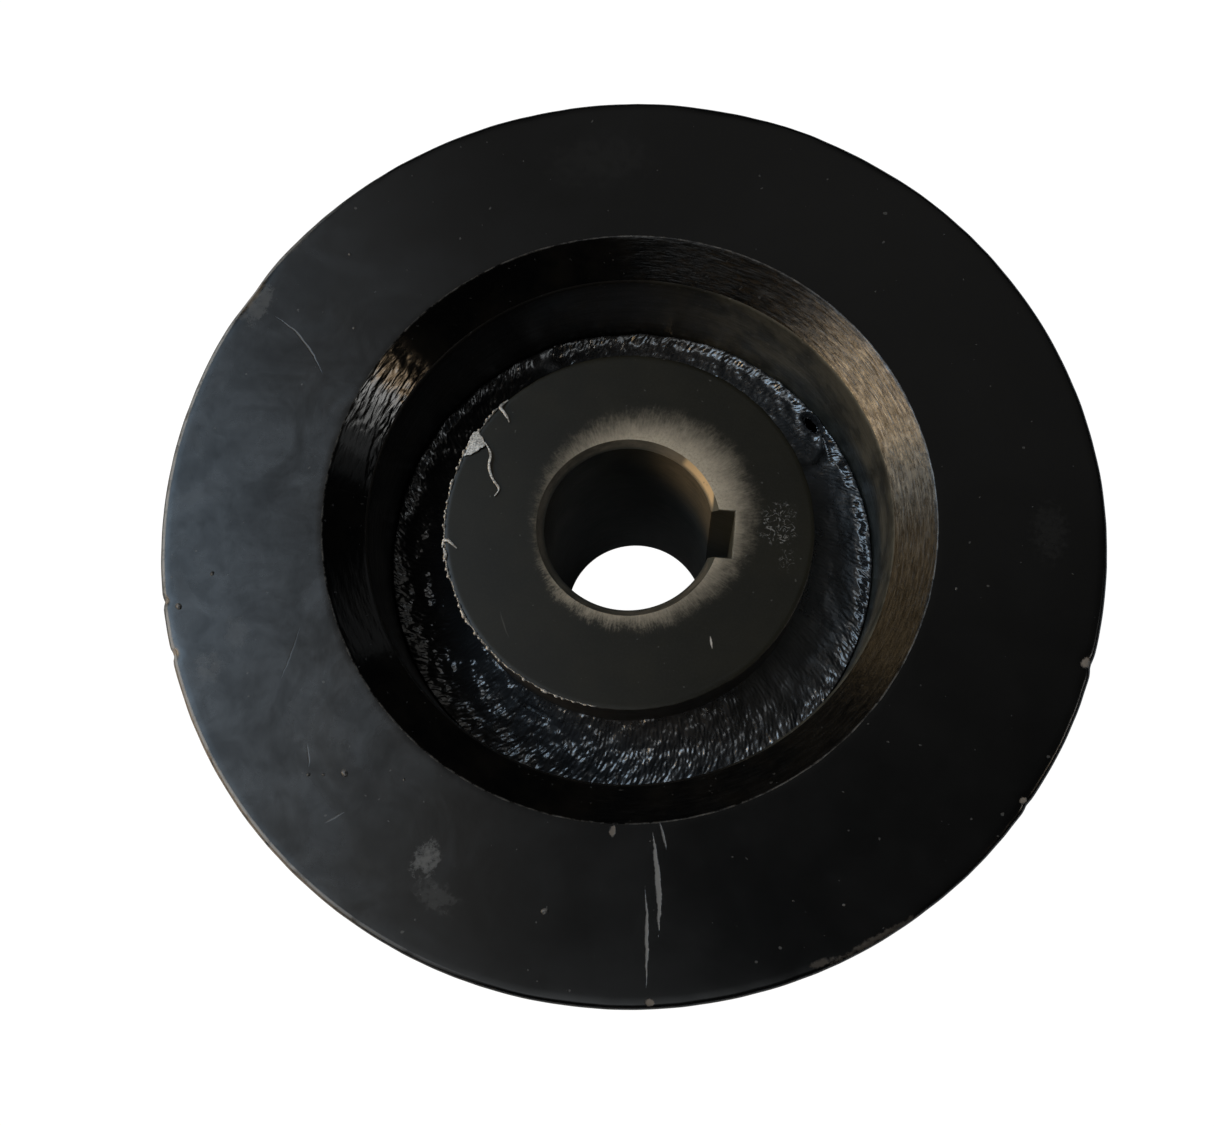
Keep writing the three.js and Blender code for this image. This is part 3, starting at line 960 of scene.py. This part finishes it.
def make_hub():
    """The hub sleeve: bore with a keyway, turned front face, outer wall and chamfered rear."""
    rings = []

    def add(mouth, ease, share, height, slot, outer=HUB_RADIUS):
        plan = hub_ring(mouth, ease, share, outer)
        rings.append((np.column_stack([plan, np.full(len(plan), height)]), slot))

    def add_end(share, height, slot, outer=HUB_RADIUS):
        add(BORE_MOUTH, BREAK_EDGE, share, height, slot, outer)

    for height in np.linspace(HUB_REAR + BORE_CHAMFER, HUB_FRONT - BORE_CHAMFER, 16):
        add(BORE_RADIUS, 0.0, 0.0, height, 1)
    for share in (0.33, 0.66):
        add(BORE_RADIUS + BORE_CHAMFER * share, 0.0, 0.0, HUB_FRONT - BORE_CHAMFER * (1 - share), 1)
    add(BORE_MOUTH - 0.12, 0.0, 0.0, HUB_FRONT - BREAK_EDGE, 1)
    add_end(0.0, HUB_FRONT - 0.02, 0)
    for share in (0.01, *np.linspace(0.04, 0.985, 22)):
        add_end(share, HUB_FRONT, 0)
    add_end(1.0, HUB_FRONT - 0.10, 2)
    for height in np.linspace(HUB_FRONT - 0.6, HUB_REAR + HUB_REAR_CHAMFER + 0.3, 24):
        add_end(1.0, height, 2)
    add_end(1.0, HUB_REAR + HUB_REAR_CHAMFER, 2)
    add_end(1.0, HUB_REAR + 0.15, 2, HUB_RADIUS - 0.85)
    add_end(1.0, HUB_REAR, 2, HUB_RADIUS - 1.1)
    for share in np.linspace(0.95, 0.02, 10):
        add_end(share, HUB_REAR, 2)
    add_end(0.0, HUB_REAR, 1)
    add(BORE_MOUTH - 0.12, 0.0, 0.0, HUB_REAR + BREAK_EDGE, 1)
    add(BORE_RADIUS + 0.5, 0.0, 0.0, HUB_REAR + 0.7, 1)

    vertices = np.stack([ring for ring, _ in rings], axis=0)
    flat = vertices.reshape(-1, 3)
    angle = np.arctan2(flat[:, 1], flat[:, 0])
    reach = np.hypot(flat[:, 0], flat[:, 1])
    lip = smooth(HUB_RADIUS - 0.9, HUB_RADIUS, reach)
    lip *= smooth(HUB_FRONT - 1.2, HUB_FRONT - 0.1, flat[:, 2])
    swell = lip * (0.10 * ring_noise(angle, 30, 21) + 0.08 * ring_noise(angle, 110, 22))
    flat[:, 0] += swell * np.cos(angle)
    flat[:, 1] += swell * np.sin(angle)

    count = len(rings[0][0])
    faces = [face[::-1] for face in grid_faces(len(rings), count, True, True)]
    slots = np.repeat([slot for _, slot in rings], count)
    hub = link_mesh("hub", flat, faces, [hub_face_steel(), bore_steel(), hub_side_paint()], slots)
    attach(hub, "root")
    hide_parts("hub_sleeve")


# ---- weld beads

FINE_STEP = 0.11
FINE_ROWS = 78
COARSE_STEP = 0.24
COARSE_ROWS = 44
ROOT_ROWS = 5
MIDDLE_RADIUS = (HUB_RADIUS + WALL_RADIUS) / 2
BEAD_WIDTH = WALL_RADIUS - HUB_RADIUS
BEAD_OVERLAP = 0.12
LEAST_THICKNESS = 0.3

# Stretches of the front bead where it is fuller, flatter, without its crest, and with dull ripples.
FULLEST = (205, 232, 300, 340)
FLATTEST = (34, 50, 112, 130)
NO_CREST = (164, 176, 206, 220)
DULL_STRETCH = (300, 330, 388, 400)


def bead_profile(share, angle):
    """Bead thickness from the hub (share 0) to the rim (share 1).

    Most of the bead is hollow, with a low crest beside the rim; it is laid fuller round its lower side."""
    degrees = np.degrees(angle) % 360
    crest = (0.66 - 0.50 * between(NO_CREST, degrees)) * np.exp(-(((share - 0.95) / 0.09) ** 2))
    hollow = 1.2 + (BEAD_AT_HUB - 1.2) * (1 - share) ** 2.4 + crest
    hollow -= 2.6 * between(FLATTEST, degrees) * (1 - share) ** 2.4
    full = 1.9 + (BEAD_AT_HUB - 1.9) * (1 - share) ** 1.5
    return hollow + (full - hollow) * between(FULLEST, degrees) - 0.8 * smooth(0.96, 1.0, share)


def bead_grain(along, across, seed):
    """Ripples across the run, broken into lumps, in millimetres."""
    slant = along + 0.30 * (across - 6) + 0.03 * (across - 6) ** 2
    wander = noise2(along / 1.9, across / 1.4, seed)
    strength = 0.6 + 0.4 * noise2(along / 1.7, across / 2.0, seed + 1)
    ripples = np.sin(math.tau * (slant / 0.95 + 0.6 * wander)) * strength * 0.045
    pebbles = noise2(slant / 0.48, across / 1.05, seed + 2) * 0.145
    grit = noise2(slant / 0.30, across / 0.36, seed + 3) * 0.05
    lumps = noise2(along / 1.8, across / 1.9, seed + 4) * 0.28
    return ripples + pebbles + grit + lumps


# Where a run starts across the bead, in millimetres along it from its nominal angle: (share, lead) steps.
# Smooth is how far from the start its first, unrippled metal reaches.
FRONT_STARTS = (
    dict(angle=33, smooth=1.0,
         line=((0.0, -1.6), (0.25, -1.0), (0.5, -1.2), (0.77, 0.3), (0.9, 4.0), (1.0, 4.6))),
    dict(angle=115, smooth=8.0, line=((0.0, -2.0), (0.4, -1.5), (0.96, -0.2), (1.0, 0.0))),
    dict(angle=240, smooth=0.5, line=((0.0, -1.0), (0.4, -1.5), (0.58, -2.7), (1.0, -4.0))),
)
REAR_LINE = ((0.0, 1.2), (0.5, -1.0), (1.0, 1.2))
REAR_STARTS = tuple(dict(angle=angle, smooth=2.0, line=REAR_LINE) for angle in REAR_RUN_STARTS)

# Holes left where two runs don't quite meet: angle, share across, half length, half width and depth.
FRONT_PITS = ((42.0, 0.86, 1.7, 0.85, 3.2), (117.2, 0.10, 1.6, 0.5, 0.8), (114.6, 0.42, 0.5, 1.2, 1.0),
              (245.0, 0.19, 3.4, 0.35, 1.2))

# Drops of spatter on the bead: angle, share across, size and rise.
SPATTER = ((114.7, 0.95, 0.75, 1.0), (29.0, 0.90, 0.5, 0.6), (236.0, 0.16, 0.6, 0.5))


def start_line(start, share):
    """Lead of a run's start at each share across the bead."""
    shares, leads = zip(*start["line"])
    return np.interp(share, shares, leads)


def add_holes_and_spatter(height, angle, across):
    """Sinks the holes between the front runs and raises the drops of spatter."""
    for place, where, half_length, half_width, depth in FRONT_PITS:
        reach = away(angle, place) * MIDDLE_RADIUS / half_length
        aside = (across - where * BEAD_WIDTH) / half_width
        height -= depth * np.exp(-((reach ** 2 + aside ** 2) ** 1.5))
    for place, where, size, rise in SPATTER:
        reach = away(angle, place) * MIDDLE_RADIUS / size
        aside = (across - where * BEAD_WIDTH) / size
        height += rise * np.exp(-(reach ** 2 + aside ** 2))


def run_height(run, cross, angle, into, left, start, seed, on_front):
    """How high a run's face stands over the web: into and left are the lengths behind and ahead."""
    across = cross * BEAD_WIDTH
    toes = np.minimum(smooth(0.0, 0.05, cross), smooth(1.0, 0.96, cross))
    calm = smooth(start["smooth"] * 0.4, start["smooth"] + 1.0, into)
    if on_front:
        dull = between(DULL_STRETCH, (np.degrees(angle) - 200) % 360 + 200)
        calm *= 1 - 0.75 * dull * smooth(0.84, 0.66, cross)
    sway = 0.05 * noise2(run / 3.5, run * 0, seed + 6) * np.sin(math.pi * cross)
    height = bead_profile(np.clip(cross + sway, 0, 1), angle)
    height += noise2(run / 6.0, across / 4.0, seed + 5) * 0.40
    height += bead_grain(run, across, seed) * (0.3 + 0.7 * toes) * (0.22 + 0.78 * calm)

    rise = np.sqrt(np.clip(1 - (1 - np.clip(into / 1.2, 0, 1)) ** 2, 0, 1))
    height += (rise - 1) * 1.5 + 0.30 * np.exp(-(((into - 1.3) / 1.4) ** 2))
    height -= 0.65 * np.exp(-(((left - 0.7) / 1.5) ** 2)) * np.sin(math.pi * cross)
    height -= 1.6 * smooth(-0.5, -2.4, left)
    if on_front:
        add_holes_and_spatter(height, angle, across)
    return np.maximum(height, LEAST_THICKNESS)


def make_run(name, node, web_height, up, start, following, seed, step, rows, paint):
    """One run of bead, from its rounded start to the crater that the next run covers."""
    end_angle = following["angle"] + (360 if following["angle"] <= start["angle"] else 0)
    length = math.radians(end_angle - start["angle"]) * MIDDLE_RADIUS
    share = np.linspace(0.0, 1.0, rows)
    lead, next_lead = start_line(start, share), start_line(following, share)
    along = np.arange(lead.min() - 1.0, length + next_lead.max() + 3.0, step)
    run, cross = np.meshgrid(along, share, indexing="ij")
    angle = math.radians(start["angle"]) + run / MIDDLE_RADIUS
    into = run - lead - 0.35 * noise2(cross * 4, run * 0, seed + 7)
    left = length + next_lead - run
    height = run_height(run, cross, angle, into, left, start, seed, up > 0)

    inner, outer = HUB_RADIUS - BEAD_OVERLAP, WALL_RADIUS + BEAD_OVERLAP
    all_share = np.concatenate([share, np.linspace(1.0, 0.0, ROOT_ROWS)])
    all_height = np.concatenate([height, np.zeros((len(along), ROOT_ROWS))], axis=1)
    radius = inner + (outer - inner) * all_share
    turn = math.radians(start["angle"]) + along[:, None] / MIDDLE_RADIUS
    z = web_height + up * (FIT_GAP + all_height)
    vertices = np.stack([radius * np.cos(turn), radius * np.sin(turn), z], axis=-1)
    faces = capped_faces(*vertices.shape[:2])
    if up > 0:
        faces = [face[::-1] for face in faces]
    bead = link_mesh(name, vertices.reshape(-1, 3), faces, [paint])
    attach(bead, "root")
    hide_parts(node)


def make_welds():
    """Three runs on the front of the web, finely rippled, and three on its rear."""
    paint = weld_paint()
    sides = (
        ("front", WEB_HIGH.z, 1, FRONT_STARTS, FINE_STEP, FINE_ROWS),
        ("rear", WEB_LOW.z, -1, REAR_STARTS, COARSE_STEP, COARSE_ROWS),
    )
    for side, height, up, starts, step, rows in sides:
        for index, start in enumerate(starts):
            following = starts[(index + 1) % len(starts)]
            seed = 100 + 20 * index + (0 if up > 0 else 200)
            name, node = f"{side}_bead_{index + 1}", f"{side}_weld_run_{index + 1}"
            make_run(name, node, height, up, start, following, seed, step, rows, paint)


# ---- burr on the hub's front edge


def tube(name, path, widths, heights, material, sides=8):
    """A closed, flattened tube along a path of points, with its own width and height at each."""
    path = np.asarray(path, float)
    step = np.gradient(path, axis=0)
    step /= np.linalg.norm(step, axis=1, keepdims=True)
    across = np.cross(np.tile((0.0, 0.0, 1.0), (len(path), 1)), step)
    across /= np.linalg.norm(across, axis=1, keepdims=True)
    up = np.cross(step, across)
    turns = np.arange(sides) * math.tau / sides
    ring = (np.cos(turns)[None, :, None] * across[:, None, :] * np.asarray(widths)[:, None, None] / 2
            + np.sin(turns)[None, :, None] * up[:, None, :] * np.asarray(heights)[:, None, None] / 2)
    vertices = (path[:, None, :] + ring).reshape(-1, 3)
    faces = [face[::-1] for face in capped_faces(len(path), sides)]
    return link_mesh(name, vertices, faces, [material])


def on_face(radius, angle, lift):
    """A point over the hub's front face."""
    x, y = polar(radius, angle)
    return x, y, HUB_FRONT + lift


def curve_through(points, count):
    """Points of a smooth curve through some (radius, angle, lift) places over the hub's face."""
    places = np.array([on_face(*point) for point in points])
    share = np.linspace(0, 1, len(places))
    dense = np.linspace(0, 1, count)
    smoothed = np.column_stack([np.interp(dense, share, places[:, k]) for k in range(3)])
    kernel = np.hanning(max(5, count // 6) | 1)
    kernel /= kernel.sum()
    pad = len(kernel) // 2
    padded = np.vstack([np.repeat(smoothed[:1], pad, 0), smoothed, np.repeat(smoothed[-1:], pad, 0)])
    return np.column_stack([np.convolve(padded[:, k], kernel, "valid") for k in range(3)])


# The flake's outline: radius and angle of each corner. It rises as it reaches in over the face.
FLAKE_EDGE = ((31.0, 154.6), (31.1, 153.4), (30.7, 151.8), (29.9, 152.2), (28.6, 153.5), (27.9, 154.5),
              (28.4, 156.8), (28.8, 158.4), (29.4, 160.1), (30.3, 161.1), (30.4, 158.9), (30.8, 156.5))


def torn_flake(name, material):
    """A thin torn scrap of metal that has folded over the hub's edge."""
    thickness = 0.10
    corners = [np.array(on_face(radius, angle, thickness + 0.13 * (31.0 - radius)))
               for radius, angle in FLAKE_EDGE]
    ragged = []
    for index, corner in enumerate(corners):
        following = corners[(index + 1) % len(corners)]
        for step in range(4):
            jog = np.array((math.sin(7.1 * index + 2.3 * step), math.cos(5.3 * index + step), 0.0))
            ragged.append(corner + (following - corner) * step / 4 + 0.09 * jog)
    middle = np.mean(ragged, axis=0) + np.array((0.0, 0.0, 0.18))
    top = ragged + [middle]
    count = len(ragged)
    vertices = top + [point - np.array((0.0, 0.0, thickness)) for point in top]
    faces = []
    for index in range(count):
        after = (index + 1) % count
        faces.append((index, after, count))
        faces.append((count + 1 + after, count + 1 + index, 2 * count + 1))
        faces.append((index, count + 1 + index, count + 1 + after, after))
    return link_mesh(name, vertices, faces, [material])


# Slivers of torn metal: (radius, angle, lift) places along each, then its width and thickness.
SLIVERS = {
    "hub_sliver_long": (((28.5, 153.7, 0.4), (27.0, 155.3, 0.6), (26.0, 157.2, 0.8), (25.7, 160.6, 0.7),
                         (24.7, 163.9, 0.6), (23.7, 166.2, 0.5), (22.6, 167.8, 0.3), (22.4, 169.4, 0.3),
                         (22.9, 172.4, 0.3)), 0.40, 0.16),
    "hub_sliver_hook": (((30.4, 137.5, 0.0), (30.4, 139.7, 0.4), (30.2, 141.4, 0.7), (28.9, 141.8, 0.8),
                         (28.0, 142.2, 0.6), (27.2, 143.0, 0.2)), 0.46, 0.18),
    "hub_sliver_short": (((30.9, 191.9, -0.1), (30.5, 189.7, 0.3), (29.7, 190.1, 0.5),
                          (28.4, 193.0, 0.2)), 0.46, 0.18),
    "hub_sliver_stub": (((30.6, 192.2, 0.1), (30.4, 194.4, 0.3), (30.9, 196.6, 0.1)), 0.50, 0.2),
}
BURR_START = 140
BURR_END = 266


def make_burr():
    """The torn lip along one side of the hub's front edge, and the slivers that still hang from it."""
    steel = burr_steel()
    angles = np.linspace(BURR_START, BURR_END, 1000)
    turn = np.radians(angles)
    beads = ring_noise(turn, 330, 31)
    slow = ring_noise(turn, 40, 32)
    ends = between((BURR_START, BURR_START + 10, BURR_END - 22, BURR_END), angles)
    lip_width = 0.09 + (0.62 * np.clip(beads + 0.25, 0, 1) + 0.10 * slow) * (0.30 + 0.70 * ends)
    lip_width = np.maximum(lip_width, 0.06)
    radius = HUB_RADIUS - 0.05 + 0.16 * slow + 0.15 * beads
    lip = [on_face(r, a, 0.02 + 0.08 * n) for r, a, n in zip(radius, angles, beads)]
    pieces = [tube("hub_burr_lip", lip, lip_width, lip_width * 1.3, steel)]

    for name, (points, width, thickness) in SLIVERS.items():
        path = curve_through(points, 60)
        taper = np.sin(np.linspace(0.35, math.pi - 0.12, len(path))) ** 0.6
        wobble = 1 + 0.3 * ring_noise(np.linspace(0, math.tau, len(path)), 18, 33)
        pieces.append(tube(name, path, width * taper * wobble, thickness * taper, steel))

    pieces.append(torn_flake("hub_flake", steel))
    for piece in pieces:
        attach(piece, "root")


# ---- grit caught in the rim's paint

# Radius, angle, width and rise of each pip, and how deep all of them sit.
PAINT_PIPS = (
    (59.4, 229.5, 1.15, 0.24), (63.6, 226.2, 0.60, 0.20), (61.9, 227.6, 0.50, 0.16),
    (72.3, 197.6, 1.10, 0.24), (66.5, 194.0, 0.70, 0.18), (62.5, 264.4, 1.05, 0.24),
    (54.0, 237.0, 0.40, 0.14), (56.0, 150.0, 0.45, 0.15), (66.0, 141.0, 0.55, 0.16),
    (52.5, 351.0, 0.45, 0.15), (68.0, 303.0, 0.45, 0.14), (64.5, 297.5, 0.35, 0.12),
)
PIP_SINK = 0.05


def pip_paint():
    """The rim's paint where it lies thick over grit, a little dusty on top."""
    p = Paint("pip_paint")
    cloud = p.noise(1.6, 3.0, 0.6)
    tone = p.mix(p.step(cloud, 0.4, 0.7), (0.010, 0.010, 0.010, 1), (0.16, 0.155, 0.15, 1))
    return p.finish(tone, p.step(cloud, 0.3, 0.7, 0.25, 0.5), 0.0, p.bump(cloud, 0.03))


def make_pips():
    """Low domes where grit dried into the paint."""
    rings, sides = 6, 20
    tilt = np.repeat(np.arange(rings) * math.pi / 2 / rings, sides)
    turn = np.tile(np.arange(sides) * math.tau / sides, rings)
    last, top = (rings - 1) * sides, rings * sides
    dome_faces = [(face[0], *face[:0:-1]) for face in grid_faces(rings, sides, False, True)]
    dome_faces += [(last + side, last + (side + 1) % sides, top) for side in range(sides)]
    dome_faces.append(range(sides)[::-1])
    vertices, faces = [], []
    for radius, angle, width, rise in PAINT_PIPS:
        x, y = polar(radius, angle)
        out = width / 2 * np.cos(tilt) * (1 + 0.12 * np.sin(2 * turn + angle))
        skin = np.column_stack([x + out * np.cos(turn), y + out * np.sin(turn), rise * np.sin(tilt)])
        faces += [[len(vertices) + corner for corner in face] for face in dome_faces]
        vertices += [*skin, (x, y, rise)]
    vertices = np.array(vertices) + (0, 0, RIM_FACE - PIP_SINK)
    pips = link_mesh("rim_paint_pips", vertices, faces, [pip_paint()])
    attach(pips, "root")


# ---- build

make_camera()
make_lights()
make_stage()
make_rim()
make_hub()
make_welds()
make_burr()
make_pips()

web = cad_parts["web_plate"]
web.data.materials.clear()
web.data.materials.append(web_steel())
